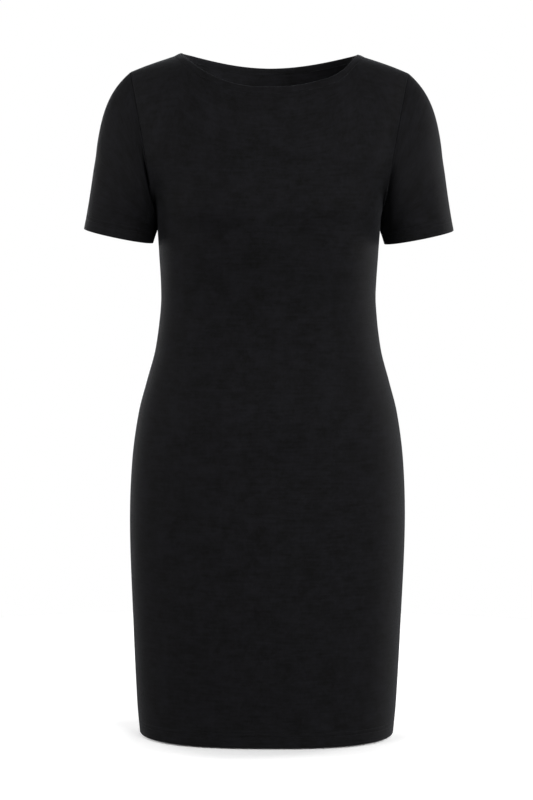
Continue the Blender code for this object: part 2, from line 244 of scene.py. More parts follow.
def top_place(side, across):
    """(x, turn of its arch) where a column ends on the neck edge or the shoulder seam."""
    if abs(across) <= NECK_SHARE:
        return neck_place(side, across / NECK_SHARE * pi / 2)
    along = (abs(across) - NECK_SHARE) / (1 - NECK_SHARE)
    return copysign(NECK_SIDE.x + (SHOULDER_TIP.x - NECK_SIDE.x) * along, across), pi / 2


def upper_point(side, across, part):
    """A point of a column between the section across the chest, at 0, and the top edge, at 1."""
    low = chest_across(side, across)
    high, last_turn = top_place(side, across)
    turn = last_turn * part
    return arch_point(side, low + (high - low) * sin(turn) / sin(last_turn), turn)


def yoke_point(side, across, rise):
    """A point above the underarm, from 0 on the underarm's ring to 1 at the top edge."""
    if rise >= 0.5:
        return upper_point(side, across, 2 * rise - 1)
    start, middle = ring_point(side, across, UNDERARM_HEIGHT), upper_point(side, across, 0)
    upward = (start - ring_point(side, across, UNDERARM_HEIGHT - SMALL_LENGTH)).normalized()
    onward = (upper_point(side, across, SMALL) - middle).normalized()
    forward = Vector((0, side * abs(middle.y), 0))
    corner = abs(across) ** ARMHOLE_CORNER
    reach = (middle - start).length * (1 - corner)
    leaving = upward * reach + forward * QUARTER_ROUND * corner
    arriving = onward * (reach + (middle.z - start.z) * QUARTER_ROUND * corner)
    return hermite(start, leaving, middle, arriving, 2 * rise)


def bust(side, point):
    """How far the bust carries the front forwards."""
    if side == BACK:
        return 0.0
    spread_across, spread_up, spread_down = BUST_SPREAD
    above = point.z - BUST_PLACE[1]
    share = bell(above, spread_up if above > 0 else spread_down)
    return BUST_DEPTH * bell(abs(point.x) - BUST_PLACE[0], spread_across) * share


def body_point(side, across, level):
    """A point of a panel: level runs from 0 at the hem through 1 at the underarm to 2 at the top."""
    if level <= 1:
        point = ring_point(side, across, HEM_HEIGHT + BODY_HEIGHT * level)
    else:
        point = yoke_point(side, across, level - 1)
    point.y += side * (bust(side, point) * (1 - across**6) + SEAM_GAP / 2)
    return point


def outward(surface, first, second, limits):
    """The outward normal of a surface(first, second), measured inside its limits."""
    low_1, high_1 = max(first - SMALL, limits[0]), min(first + SMALL, limits[1])
    low_2, high_2 = max(second - SMALL, limits[2]), min(second + SMALL, limits[3])
    run = surface(high_1, second) - surface(low_1, second)
    rise = surface(first, high_2) - surface(first, low_2)
    return run.cross(rise).normalized()


def body_outward(side, across, level):
    """The outward normal of a panel. At the underarm it is the side seam's, below the armhole."""
    lowest, highest = (0, 1) if level <= 1 else (1, 2)
    return -side * outward(partial(body_point, side), across, level, (-1, 1, lowest, highest))


def armhole_place(round_):
    """The panel, across and level where the wearer's left armhole is this far round from the underarm."""
    if round_ <= 0.5:
        return FRONT, 1.0, 1 + 2 * round_
    return BACK, 1.0, 3 - 2 * round_


def armhole_point(round_):
    side, across, level = armhole_place(round_ % 1)
    return yoke_point(side, across, level - 1)


def cuff_point(round_):
    """The sleeve's lower edge, this far round from the inner side, over the front."""
    turn = 2 * pi * round_
    middle = (CUFF_INNER + CUFF_OUTER) / 2
    point = middle - (CUFF_OUTER - CUFF_INNER) / 2 * cos(turn)
    return point - Vector((0, CUFF_HALF_DEPTH, CUFF_FRONT_DROP)) * sin(turn)


def sleeve_curve(round_):
    """The four vectors of the cubic down the wearer's left sleeve, this far round it."""
    turn = 2 * pi * round_
    over = (1 - cos(turn)) / 2
    side, across, level = armhole_place(round_ % 1)
    above = ease(level, *GAP_TURNS)
    away = body_outward(side, across, level) * (1 - above) + Vector((above, 0, 0))
    start = yoke_point(side, across, level - 1) + away.normalized() * ARMHOLE_GAP
    end = cuff_point(round_)
    length = (end - start).length
    angle = UNDERARM_ANGLE + (CAP_ANGLE - UNDERARM_ANGLE) * over
    leaving = Vector((sin(angle), -sin(turn) * CAP_FULLNESS, -cos(angle))) * length * CAP_LEAVING
    arriving = CAP_ARRIVING[0] + (CAP_ARRIVING[1] - CAP_ARRIVING[0]) * over
    along_arm = Vector((sin(CUFF_ANGLE), 0, -cos(CUFF_ANGLE))) * length * arriving
    return start, leaving, end, along_arm


def sleeve_point(round_, down):
    """A point of the wearer's left sleeve: down runs from 0 at the armhole to 1 at the cuff."""
    return hermite(*sleeve_curve(round_), down)


def sleeve_outward(round_, down):
    return -outward(sleeve_point, round_, down, (round_ - SMALL, round_ + SMALL, 0, 1))


def armhole_frame(round_):
    """(into the body, into the sleeve, inwards) at a place of the wearer's left armhole.

    Inwards is the way that both pieces' allowances stand. It is square to the cap's ridge, and at the
    underarm, where body and sleeve hang down side by side, it points up between them.
    """
    along = (armhole_point(round_ + SMALL) - armhole_point(round_ - SMALL)).normalized()
    body = body_outward(*armhole_place(round_ % 1))
    sleeve = sleeve_outward(round_, 0)
    into_body = body.cross(along).normalized()
    into_sleeve = along.cross(sleeve).normalized()
    inwards = -(body + sleeve + into_body + into_sleeve).normalized()
    return into_body, into_sleeve, inwards


# ---- Cloth, seams and hems ----

FOLD_STEPS = 3  # of a quarter turn
ROLL_STEPS = 4
MAIN_COLUMNS = 48  # of a panel, on each side of its middle
EDGE_COLUMNS = (0.0080, 0.0050, 0.0026, 0.0)  # distances from the seam of the columns beside it
NECK_COLUMN = 34  # the one that ends at the neck point
NECK_COLUMN_LEVELS = (1.35, 2.0)  # where the columns spread out to reach it
BODY_ROWS = 138
LOWER_YOKE_ROWS = 22
UPPER_YOKE_ROWS = 40
ARC_SAMPLES = 64
SLEEVE_COLUMNS = 104
SLEEVE_ROWS = 46
SLEEVE_SAMPLES = 48
NECK_FIN_FREE = 0.012  # from the neck point, where the binding holds the shoulder seam's allowance
STUB = 0.0002

# Turned-up hems: a twin needle's two lines, 5 mm apart, the upper one along the turned-up edge.
HEM_ROWS = (3.0, 5.5, 8.0, 10.4, 12.0, 12.8, 13.4, 14.0, 14.6, 15.2, 16.0, 17.0, 17.8, 18.4, 19.0)
HEM_ROWS += (19.6, 20.2, 21.0, 22.4, 24.5, 27.0)
INNER_HEM_ROWS = (20.2, 19.0, 17.0, 14.0, 10.4, 5.5)
STITCH_LINES = {"body": (0.0140, 0.0190), "sleeve": (0.0134, 0.0184)}
TROUGH_WIDTH = 0.6 * MM
PUFF_WIDTHS = (1.4 * MM, 4.5 * MM)  # between the two lines and below them
PUFF_BELOW = 0.8  # its height, where the puff between the lines is 1
GROOVE_WIDTH = 1.2 * MM  # of a sleeve's own seam

# Soft troughs (less than 0) and ridges of the panels, as worn, in millimetres: each runs through a
# point, x and z, at an angle to the level, and is half as deep a half length or half width away.
CREASES = {
    FRONT: (
        # x, z, angle, half length, half width, height
        (98, -228, 12, 36, 13, -2.2),
        (-92, -232, -9, 30, 12, -2),
        (40, -236, -6, 26, 14, -1),
        (-36, -240, 7, 22, 13, -0.9),
        (136, -172, 81, 42, 12, 4.2),
        (-130, -190, -50, 22, 8, -0.4),
        (4, -482, 0, 85, 40, 4.5),
        (108, -330, 9, 36, 10, -0.9),
        (-104, -342, -12, 34, 10, -1),
        (84, -364, 6, 30, 9, -0.6),
        (-78, -318, -7, 28, 9, -0.6),
        (-10, -470, 84, 46, 26, -1.8),
        (16, -540, 60, 34, 22, -1.2),
        (-112, -640, 78, 60, 20, -1.3),
        (60, -690, 96, 70, 22, -1.1),
        (-30, -760, 88, 60, 20, -0.8),
        (118, -790, 82, 55, 18, -1),
    ),
    BACK: (
        (96, -205, 20, 36, 12, -1.6),
        (-100, -196, -24, 32, 11, -1.5),
        (60, -310, 5, 44, 10, -1.7),
        (-50, -328, -8, 50, 11, -2),
        (20, -356, 4, 56, 10, -1.8),
        (-88, -372, -14, 34, 9, -1.3),
        (94, -344, 15, 32, 9, -1.2),
        (72, -640, 24, 50, 16, -1.4),
        (-78, -652, -20, 46, 16, -1.3),
        (104, -740, 96, 60, 18, -1.1),
        (-60, -780, 86, 64, 20, -1.2),
        (10, -710, 90, 70, 20, -1.4),
    ),
}
SLEEVE_CREASES = (
    # how far round the sleeve, how far down it, angle, half length, half width, height
    (0.10, 0.42, 58, 26, 7, -1.1),
    (0.17, 0.60, 40, 30, 8, -1),
    (0.24, 0.74, 22, 26, 8, -0.7),
    (0.90, 0.46, -56, 26, 7, -1.2),
    (0.82, 0.62, -38, 30, 9, -1.1),
    (0.74, 0.78, -20, 28, 8, -0.7),
    (0.50, 0.66, 6, 34, 10, -0.5),
    (0.00, 0.50, 90, 12, 12, 2.1),
    (0.00, 0.45, 90, 6, 12, 1.3),
)
SLEEVE_ROUND = 0.30  # metres round the sleeve, where its creases are placed
# The hollow beside the armhole's lower half: for each hand its depth and where it fades out round the
# sleeve, then where it fades out down it, how soon it is deep, and how far from the seam it is half
# as deep.
HOLLOWS = {1: (0.0070, 0.15, 0.28), -1: (0.0120, 0.18, 0.32)}
HOLLOW_DOWN = (0.55, 0.95)
HOLLOW_START = 0.0035
HOLLOW_WIDTH = 0.0140
CREASE_REACH = 4  # a crease has faded beyond this many times its half sizes


def crease(across, up, angle, half_length, half_width):
    """A crease's share of its height at a point this far across and up from its middle."""
    turn = radians(angle)
    along = across * cos(turn) + up * sin(turn)
    beside = up * cos(turn) - across * sin(turn)
    return bell(along, half_length * MM) * bell(beside, half_width * MM)


def panel_relief(side, point):
    """How far the creases lift the cloth at a point of a panel."""
    total = 0.0
    for x, z, *shape, height in CREASES[side]:
        across, up = point.x - x * MM, point.z - z * MM
        if abs(across) < CREASE_REACH * (shape[1] + shape[2]) * MM:
            total += height * MM * crease(across, up, *shape)
    return total


def sleeve_relief(round_, down, length):
    """How far the creases lift a sleeve's cloth."""
    total = 0.0
    for at_round, at_down, *shape, height in SLEEVE_CREASES:
        across = ((round_ - at_round + 0.5) % 1 - 0.5) * SLEEVE_ROUND
        total += height * MM * crease(across, (at_down - down) * length, *shape)
    return total


def sleeve_hollow(hand, round_, down, length):
    """How the cloth beside the armhole's lower half lies back behind the panel's edge."""
    from_seam = down * length
    deepest, *fading = HOLLOWS[hand]
    depth = deepest * sin(2 * pi * round_)
    depth *= 1 - ease(min(round_, 1 - round_), *fading)
    depth *= 1 - ease(down, *HOLLOW_DOWN)
    depth *= ease(from_seam, 0, HOLLOW_START) * 2 ** (-from_seam / HOLLOW_WIDTH)
    return Vector((0, depth, 0))


def hem_relief(kind, distance, settings):
    """The shallow troughs that stitching pulls into a hem, and the puff between and below them."""
    lines = STITCH_LINES[kind]
    troughs = sum(bell(distance - line, TROUGH_WIDTH) for line in lines)
    puff = bell(distance - sum(lines) / 2, PUFF_WIDTHS[0])
    puff += PUFF_BELOW * bell(distance - lines[0] / 2, PUFF_WIDTHS[1])
    return settings.hem_puff * puff - settings.stitch_depth * troughs


def hem_rows(fold_radius):
    """(distance from the fold, depth) of a hem's rows, from its turned-up edge inside to over its top."""
    turns = [pi / 2 * (k / FOLD_STEPS - 1) for k in range(2 * FOLD_STEPS + 1)]
    rows = [(row * MM, 2 * fold_radius) for row in INNER_HEM_ROWS]
    rows += [(fold_radius * (1 - cos(turn)), fold_radius * (1 - sin(turn))) for turn in turns]
    return rows + [(row * MM, 0.0) for row in HEM_ROWS]


def fold_wear(rows, settings):
    """How worn each row is: wholly so round the hem's fold."""
    return [float(0 < depth < 2 * settings.fold_radius) for _, depth in rows]


def lengths_along(points):
    """How far each point is along the line through them all."""
    lengths = [0.0]
    for before, point in zip(points, points[1:]):
        lengths.append(lengths[-1] + (point - before).length)
    return lengths


def read_at(wanted, steps, values):
    """The value where the rising steps reach what is wanted, straight between two of them."""
    index = min(max(bisect_right(steps, wanted) - 1, 0), len(steps) - 2)
    part = (wanted - steps[index]) / max(steps[index + 1] - steps[index], SMALLEST)
    return values[index] + (values[index + 1] - values[index]) * part


def half_columns(level, half_length, neck_length):
    """How far from the middle a panel's columns pass a row, whose half is half_length long."""
    last = half_length - EDGE_COLUMNS[0]
    shoulder = MAIN_COLUMNS - NECK_COLUMN
    even = [last * k / MAIN_COLUMNS for k in range(MAIN_COLUMNS)]
    neck = [neck_length * k / NECK_COLUMN for k in range(NECK_COLUMN)]
    neck += [neck_length + (last - neck_length) * k / shoulder for k in range(shoulder)]
    share = ease(level, *NECK_COLUMN_LEVELS)
    columns = [a + (b - a) * share for a, b in zip(even, neck)]
    return columns + [half_length - distance for distance in EDGE_COLUMNS]


def panel_row(side, level):
    """(across, length from the middle) of one half of a panel's row, from its middle to its seam."""
    samples = [1 - (1 - k / ARC_SAMPLES) ** 2 for k in range(ARC_SAMPLES + 1)]
    lengths = lengths_along([body_point(side, across, level) for across in samples])
    columns = half_columns(level, lengths[-1], read_at(NECK_SHARE, samples, lengths))
    return [(read_at(length, lengths, samples), length) for length in columns]


def sleeve_line(round_):
    """(curve, places down it, their lengths from the cuff) of a sleeve, this far round it."""
    curve = sleeve_curve(round_)
    samples = [1 - k / SLEEVE_SAMPLES for k in range(SLEEVE_SAMPLES + 1)]
    return curve, samples, lengths_along([hermite(*curve, down) for down in samples])


def grid_normals(points):
    """The outward normals of rows of points that run to the right and upwards as seen from outside."""
    last_row, last = len(points) - 1, len(points[0]) - 1
    normals = []
    for row, line in enumerate(points):
        low, high = points[max(row - 1, 0)], points[min(row + 1, last_row)]
        runs = [line[min(k + 1, last)] - line[max(k - 1, 0)] for k in range(last + 1)]
        normals.append([run.cross(high[k] - low[k]).normalized() for k, run in enumerate(runs)])
    return normals


def spot_of(vertex, layers):
    """The column and the row that a vertex has kept."""
    return tuple(vertex[layer] for layer in layers)


def cloth_grid(points, place, wears=None, closed=False):
    """(mesh, its column and row layers, its vertices by column and row) of rows of points.

    place(column, row) gives the map, in metres. A closed grid joins its last column to the first, and
    a last row that repeats the first row to that.
    """
    rows, columns = len(points) - 1, len(points[0]) - (not closed)
    mesh_bm = bmesh.new()
    bmesh.ops.create_grid(mesh_bm, x_segments=columns, y_segments=rows, size=1)
    layers = [mesh_bm.verts.layers.int.new(name) for name in ("column", "row")]
    wear = mesh_bm.verts.layers.float.new("wear")
    cloth_map = mesh_bm.loops.layers.uv.new("cloth")
    for vertex in mesh_bm.verts:
        vertex[layers[0]] = round((vertex.co.x + 1) / 2 * columns)
        vertex[layers[1]] = round((vertex.co.y + 1) / 2 * rows)
        vertex[wear] = wears[vertex[layers[1]]] if wears else 0.0
    for face in mesh_bm.faces:
        for loop in face.loops:
            loop[cloth_map].uv = place(*spot_of(loop.vert, layers))
    for vertex in mesh_bm.verts:
        if closed:
            vertex[layers[0]] %= columns
        column, row = spot_of(vertex, layers)
        vertex.co = points[row][column]
    if closed:
        bmesh.ops.remove_doubles(mesh_bm, verts=mesh_bm.verts, dist=SEAM_GAP / 10)
    return mesh_bm, layers, {spot_of(vertex, layers): vertex for vertex in mesh_bm.verts}


def roll_edge(mesh_bm, layers, path, frames, radius, closed=False):
    """Rolls the edge along a path of vertices inwards, and on into an allowance.

    A frame gives the ways into the piece and inwards, and the length of the allowance. Its free edge
    leans out over the seam's gap to meet the other piece's, as the overlocking holds them together.
    """
    seam = {}
    for vertex, (into, inwards, fin) in zip(path, frames):
        seam[spot_of(vertex, layers)] = (vertex.co.copy(), into, inwards, fin)
        vertex.co += into * radius
    edges = [mesh_bm.edges.get(pair) for pair in zip(path, path[1:] + path[:closed])]
    turns = [pi / 2 * k / ROLL_STEPS for k in range(1, ROLL_STEPS + 1)]
    steps = [(1 - sin(turn), 1 - cos(turn), 0.0) for turn in turns]
    steps += [(0, 1, 0.5), (-SEAM_LEAN / radius, 1, 1.0)]
    for along, down, out in steps:
        made = bmesh.ops.extrude_edge_only(mesh_bm, edges=edges)["geom"]
        fresh = {item for item in made if isinstance(item, bmesh.types.BMVert)}
        drawn = [item for item in made if isinstance(item, bmesh.types.BMEdge)]
        edges = [edge for edge in drawn if fresh.issuperset(edge.verts)]
        for vertex in fresh:
            point, into, inwards, fin = seam[spot_of(vertex, layers)]
            vertex.co = point + into * radius * along + inwards * (radius * down + fin * out)


def add_object(name, data):
    """Links a new object to the scene."""
    item = bpy.data.objects.new(name, data)
    bpy.context.scene.collection.objects.link(item)
    return item


def add_mesh(name, mesh_bm, material):
    mesh = bpy.data.meshes.new(name)
    mesh_bm.to_mesh(mesh)
    mesh_bm.free()
    mesh.materials.append(material)
    return add_object(name, mesh)


def add_piece(name, mesh_bm, material, thickness=0.0, node=None):
    """Adds a smooth piece of the dress: a shell of the cloth's thickness where one is given."""
    for face in mesh_bm.faces:
        face.smooth = True
    piece = add_mesh(name, mesh_bm, material)
    if thickness:
        shell = piece.modifiers.new("thickness", "SOLIDIFY")
        shell.thickness = thickness
        shell.offset = -1
        shell.use_rim = True
    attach(piece, BODY)
    if node:
        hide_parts(node)


def panel_cloth(side, settings):
    """The front's or the back's mesh, with its seam edges rolled in and its hem turned up."""
    hem = hem_rows(settings.fold_radius)
    top = hem[-1][0]
    start = top / BODY_HEIGHT
    rows = [(distance / BODY_HEIGHT, depth) for distance, depth in hem]
    for low, high, count in (
        (start, 1, BODY_ROWS), (1, CHEST_LEVEL, LOWER_YOKE_ROWS), (CHEST_LEVEL, 2, UPPER_YOKE_ROWS)
    ):
        rows += [(low + (high - low) * k / count, 0.0) for k in range(1, count + 1)]
    levels = sorted({level for level, _ in rows})
    surface, widths = {}, {}
    for level in levels:
        half = panel_row(side, level)
        line = [body_point(side, across, level) for across, _ in half]
        surface[level] = ([point * MIRROR for point in line[:0:-1]] + line)[::-side]
        widths[level] = [-length for _, length in half[:0:-1]] + [length for _, length in half]
    normals = dict(zip(levels, grid_normals([surface[level] for level in levels])))
    points = []
    for level, depth in rows:
        lift = -depth
        if depth == 0 and level < 2 * start:
            lift = hem_relief("body", level * BODY_HEIGHT, settings)
        line = []
        for point, normal in zip(surface[level], normals[level]):
            moved = point + normal * (panel_relief(side, point) + lift)
            line.append(moved + neck_shift(side, point, normal) if level > CHEST_LEVEL else moved)
        points.append(line)
    last = len(EDGE_COLUMNS) + MAIN_COLUMNS - 1
    middle = lengths_along([line[last] for line in points])

    def place(column, row):
        return widths[rows[row][0]][column], middle[row]

    mesh_bm, layers, grid = cloth_grid(points, place, fold_wear(rows, settings))
    for hand in (1, -1):
        edge = last - last * hand * side
        spots = [(edge, row) for row in range(len(rows))]
        steps = range(1, MAIN_COLUMNS - NECK_COLUMN + len(EDGE_COLUMNS))
        spots += [(abs(edge - k), len(rows) - 1) for k in steps]
        mirror = Vector((hand, 1, 1))
        frames = []
        for index, (column, row) in enumerate(spots):
            vertex, level = grid[column, row], rows[row][0]
            before = grid[spots[max(index - 1, 0)]].co
            after = grid[spots[min(index + 1, len(spots) - 1)]].co
            inside_out = row < len(INNER_HEM_ROWS) + FOLD_STEPS
            normal = normals[level][column] * (-1 if inside_out else 1)
            if column == edge and 1 < level < 2:
                round_ = (level - 1) / 2
                frame_here = armhole_frame(round_ if side == FRONT else 1 - round_)
                into, _, inwards = (way * mirror for way in frame_here)
            else:
                into, inwards = normal.cross((after - before).normalized()).normalized(), -normal
                centres = sum((face.calc_center_median() for face in vertex.link_faces), Vector())
                if into.dot(centres / len(vertex.link_faces) - vertex.co) < 0:
                    into = -into
            if column == edge and level == 2:
                inwards = armhole_frame(0.5)[2] * mirror
            held = level == 2 and abs(vertex.co.x * hand - NECK_SIDE.x) < NECK_FIN_FREE
            short = held or level * BODY_HEIGHT < top
            frames.append((into, inwards, STUB if short else settings.allowance))
        roll_edge(mesh_bm, layers, [grid[spot] for spot in spots], frames, settings.seam_radius)
    return mesh_bm


def sleeve_cloth(hand, settings):
    """A sleeve's mesh, with its armhole edge rolled in and its hem turned up."""
    hem = hem_rows(settings.fold_radius)
    top = hem[-1][0]
    distances = sorted({distance for distance, _ in hem})
    shares = [k / SLEEVE_ROWS for k in range(1, SLEEVE_ROWS + 1)]
    columns = []
    for column in range(SLEEVE_COLUMNS):
        round_ = column / SLEEVE_COLUMNS
        curve, samples, lengths = sleeve_line(round_)
        wanted = distances + [top + (lengths[-1] - top) * share for share in shares]
        downs = [read_at(length, lengths, samples) for length in wanted]
        columns.append([(round_, down, lengths[-1], hermite(*curve, down)) for down in downs])
    surface = list(zip(*columns))
    wrapped = [[place[3] for place in line[-1:] + line + line[:1]] for line in surface]
    normals = [line[1:-1] for line in grid_normals(wrapped)]
    rows = [(distances.index(distance), depth) for distance, depth in hem]
    rows += [(row, 0.0) for row in range(len(distances), len(surface))]
    mirror = Vector((hand, 1, 1))
    points = []
    for row, depth in rows:
        hem_lift = 0.0
        if depth == 0 and row < len(distances):
            hem_lift = hem_relief("sleeve", distances[row], settings)
        line = []
        for (round_, down, length, point), normal in zip(surface[row], normals[row]):
            groove = settings.stitch_depth * bell(min(round_, 1 - round_) * SLEEVE_ROUND, GROOVE_WIDTH)
            lift = sleeve_relief(round_, down, length) + hem_lift - groove - depth
            hollow = sleeve_hollow(hand, round_, down, length)
            line.append((point + hollow + normal * lift) * mirror)
        points.append(line if hand == 1 else line[:1] + line[:0:-1])
    heights = lengths_along([line[SLEEVE_COLUMNS // 2] for line in points])

    def place(column, row):
        return column / SLEEVE_COLUMNS * SLEEVE_ROUND, heights[row]

    mesh_bm, layers, grid = cloth_grid(points, place, fold_wear(rows, settings), closed=True)
    path, frames = [], []
    for column in range(SLEEVE_COLUMNS):
        round_ = column / SLEEVE_COLUMNS
        _, into, inwards = armhole_frame(round_ if hand == 1 else 1 - round_)
        path.append(grid[column, len(rows) - 1])
        frames.append((into * mirror, inwards * mirror, settings.allowance))
    roll_edge(mesh_bm, layers, path, frames, settings.seam_radius, closed=True)
    return mesh_bm


# ---- Neck binding ----

NECK_SAMPLES = 240
NECK_STATIONS = 92  # of the binding, on each side of the dress
NECK_RUN = Vector((0.93, 0, -0.23))  # the way a shoulder seam leaves its neck point
NECK_SLACK = (0.094, 0.022, 0.0070)  # across, half width, how far the front's edge has slid down
NECK_SLACK_END = (0.100, 0.117)  # across, where it fades out
NECK_SLACK_DEPTH = 0.030  # below the edge, where half of it is left
NECK_LIFT = 0.0025
NECK_LEAN = 0.28  # by how large a share it is more on the wearer's right, and less on the left
NECK_LIFT_PLACE = 0.102  # across
NECK_LIFT_SPREADS = (0.021, 0.052)  # outwards and inwards of there
NECK_LIFT_DEPTH = 0.014  # in the front
NECK_LIFT_HEIGHT = 0.024
BINDING_WIDTH = 0.0088
BINDING_CLEAR = 0.00008  # between it and the cloth it holds
BINDING_PUFF = 0.0001
# Its outer layer is pressed thin towards its foot: shares of the wall's thickness and of the width.
BINDING_FOOT = ((0.06, 1.0), (0.20, 0.95), (0.40, 0.86), (0.62, 0.74), (0.84, 0.60))
# Shares of the width at which the section's faces have their points, and where its inner lip starts.
BINDING_OUTSIDE = (0.42, 0.25, 0.06)
BINDING_INSIDE = (0.06, 0.3, 0.6, 0.9)
BINDING_UNDER = (0.3, 0.6, 0.92)
BINDING_LIP = 0.96
HEAD_STEPS = 8  # of a half turn over the neck edge
SAME = 6  # decimal places of a metre to which two distances have to agree to be the same
FLATNESS = (0.92, 0.9)  # of the head and the inner lip, as shares of round ones
BINDING_WAVES = (
    # length, height in millimetres, turn at the start
    (0.0310, 0.10, 0.4),
    (0.0470, 0.12, 2.1),
    (0.0190, 0.06, 4.0),
)


def neck_turns(side):
    """The turns of evenly spaced places on the neck edge of one side."""
    samples = [pi * (k / NECK_SAMPLES - 0.5) for k in range(NECK_SAMPLES + 1)]
    lengths = lengths_along([arch_point(side, *neck_place(side, turn)) for turn in samples])
    stations = range(1, NECK_STATIONS)
    return [read_at(lengths[-1] * k / NECK_STATIONS, lengths, samples) for k in stations]


def neck_lift(side, point):
    """How the binding stands the cloth up beside the shoulder seams, and along the back's edge."""
    away = abs(point.x) - NECK_LIFT_PLACE
    share = bell(away, NECK_LIFT_SPREADS[away < 0]) * bell(point.z - NECK_SIDE.z, NECK_LIFT_HEIGHT)
    if side == FRONT:
        share *= bell(point.y, NECK_LIFT_DEPTH)
    return Vector((0, 0, NECK_LIFT * (1 - NECK_LEAN * point.x / NECK_SIDE.x) * share))


def neck_slack(side, point, normal):
    """How the front's neckline hangs lower on the wearer's left, beside the shoulder."""
    across, half_width, size = NECK_SLACK
    if side == BACK or point.x < 0:
        return Vector()
    drop, drop_power, _ = NECK[side]
    edge = NECK_SIDE.z - drop * (1 - min(point.x / NECK_SIDE.x, 1.0) ** drop_power)
    share = bell(point.x - across, half_width) * (1 - ease(point.x, *NECK_SLACK_END))
    share *= bell(min(point.z - edge, 0.0), NECK_SLACK_DEPTH)
    return Vector((1, 0, 0)).cross(normal) * size * share


def neck_shift(side, point, normal):
    """How far the cloth at the neck has moved from its even form."""
    return neck_slack(side, point, normal) + neck_lift(side, point)


def neck_foot(side, turn, distance):
    """The point of a panel square below a place of the neck edge, and its outward normal."""
    edge = arch_point(side, *neck_place(side, turn))
    ends = [arch_point(side, *neck_place(side, turn + step)) for step in (-SMALL, SMALL)]
    normal = arch_gradient(side, edge).normalized()
    foot = edge + (ends[1] - ends[0]).cross(normal).normalized() * -side * distance
    for _ in range(FOOT_STEPS):
        gradient = arch_gradient(side, foot)
        foot -= gradient * (arch_miss(side, foot) / gradient.length_squared)
    normal = arch_gradient(side, foot).normalized()
    foot += Vector((0, side * SEAM_GAP / 2, 0))
    return foot + neck_shift(side, foot, normal), normal


def seam_foot(hand, distance):
    """The same on a shoulder seam."""
    along = distance / (SHOULDER_TIP.x - NECK_SIDE.x)
    foot = Vector((NECK_SIDE.x + distance, 0, shoulder_height(along)))
    run = (foot - NECK_SIDE if distance else NECK_RUN).normalized()
    mirror = Vector((hand, 1, 1))
    return (foot + neck_lift(FRONT, foot)) * mirror, Vector((-run.z, 0, run.x)) * mirror


def binding_section(settings):
    """The binding's closed section: (out of the cloth, past its edge) round it, from its outer foot."""
    wall, clear, width = settings.binding_wall, BINDING_CLEAR, BINDING_WIDTH
    outside, inside = clear + wall, -settings.thickness - clear - wall
    middle, half = (outside + inside) / 2, (outside - inside) / 2
    turns = [pi * k / HEAD_STEPS for k in range(1, HEAD_STEPS)]
    section = [(clear + wall * rise, -width * along) for rise, along in BINDING_FOOT]
    section += [(outside + BINDING_PUFF, -width * k) for k in BINDING_OUTSIDE]
    section += [(middle + half * cos(turn), half * FLATNESS[0] * sin(turn)) for turn in turns]
    section += [(inside - BINDING_PUFF, -width * k) for k in BINDING_INSIDE]
    for turn in turns[1::2]:
        past = -width * BINDING_LIP - wall / 2 * sin(turn) * FLATNESS[1]
        section.append((inside + wall / 2 * (1 - cos(turn)), past))
    section += [(inside + wall, -width * k) for k in BINDING_INSIDE[:0:-1]]
    section += [(inside + wall, clear), (clear, clear)]
    return section + [(clear, -width * k) for k in BINDING_UNDER]


def binding_cloth(settings):
    """The strip folded over the neck edge, closed in section and round the neck."""
    section = binding_section(settings)
    belows = [round(max(-past, 0.0), SAME) for _, past in section]
    stations = []
    for side in (FRONT, BACK):  # from the wearer's right shoulder over the front, and back from the left
        stations.append(partial(seam_foot, side))
        stations += [partial(neck_foot, side, turn) for turn in neck_turns(side)[::-side]]
    columns, length = [], 0.0
    for foot in stations:
        feet = {below: foot(below) for below in {0.0, *belows}}
        edge, _ = feet[0.0]
        length += (edge - before).length if columns else 0.0
        before = edge
        wave = sum(size * MM * sin(length / wide * 2 * pi + on) for wide, size, on in BINDING_WAVES)
        upward = (edge - foot(MM)[0]).normalized()
        line = []
        for (out, past), below in zip(section, belows):
            point, normal = feet[below]
            swell = wave * max(out, 0.0) / MM * min(below / BINDING_WIDTH, 1.0)
            line.append(point + normal * (out + swell) + upward * max(past, 0.0))
        columns.append(line)
    rows = list(zip(*columns))
    rows.append(rows[0])
    heights = lengths_along([line[0] for line in rows])

    def place(column, row):
        return column / len(columns) * length, heights[row]

    mesh_bm, *_ = cloth_grid(rows, place, closed=True)
    bmesh.ops.recalc_face_normals(mesh_bm, faces=mesh_bm.faces)
    return mesh_bm


# ---- Stitching ----

STITCH_LENGTH = 0.0028
STITCH_GAP = 0.0006
THREAD = 0.00017  # half the width of a stitch
THREAD_RISE = THREAD * 0.4  # of its middle over the cloth
STITCH_REACH = 0.41  # from a stitch's middle to its ends, as a share of the pitch
STITCH_BEARING = (-0.4, 0.4)  # where the line's direction is taken, as shares of the pitch


def add_stitches(mesh_bm, points, normals):
    """Lays stitches end to end along a line on the cloth."""
    lengths = lengths_along(points)
    count = int(lengths[-1] // (STITCH_LENGTH + STITCH_GAP))
    pitch = lengths[-1] / count
    for stitch in range(count):
        centre = (stitch + 0.5) * pitch
        normal = read_at(centre, lengths, normals).normalized()
        ends = [read_at(centre + pitch * share, lengths, points) for share in STITCH_BEARING]
        along = (ends[1] - ends[0]).normalized()
        beside = normal.cross(along).normalized()
        turn = Matrix((beside, normal, along)).transposed().to_4x4()
        size = Matrix.Diagonal((THREAD, THREAD, pitch * STITCH_REACH, 1))
        place = Matrix.Translation(read_at(centre, lengths, points)) @ turn @ size
        bmesh.ops.create_uvsphere(mesh_bm, u_segments=6, v_segments=4, radius=1, matrix=place)


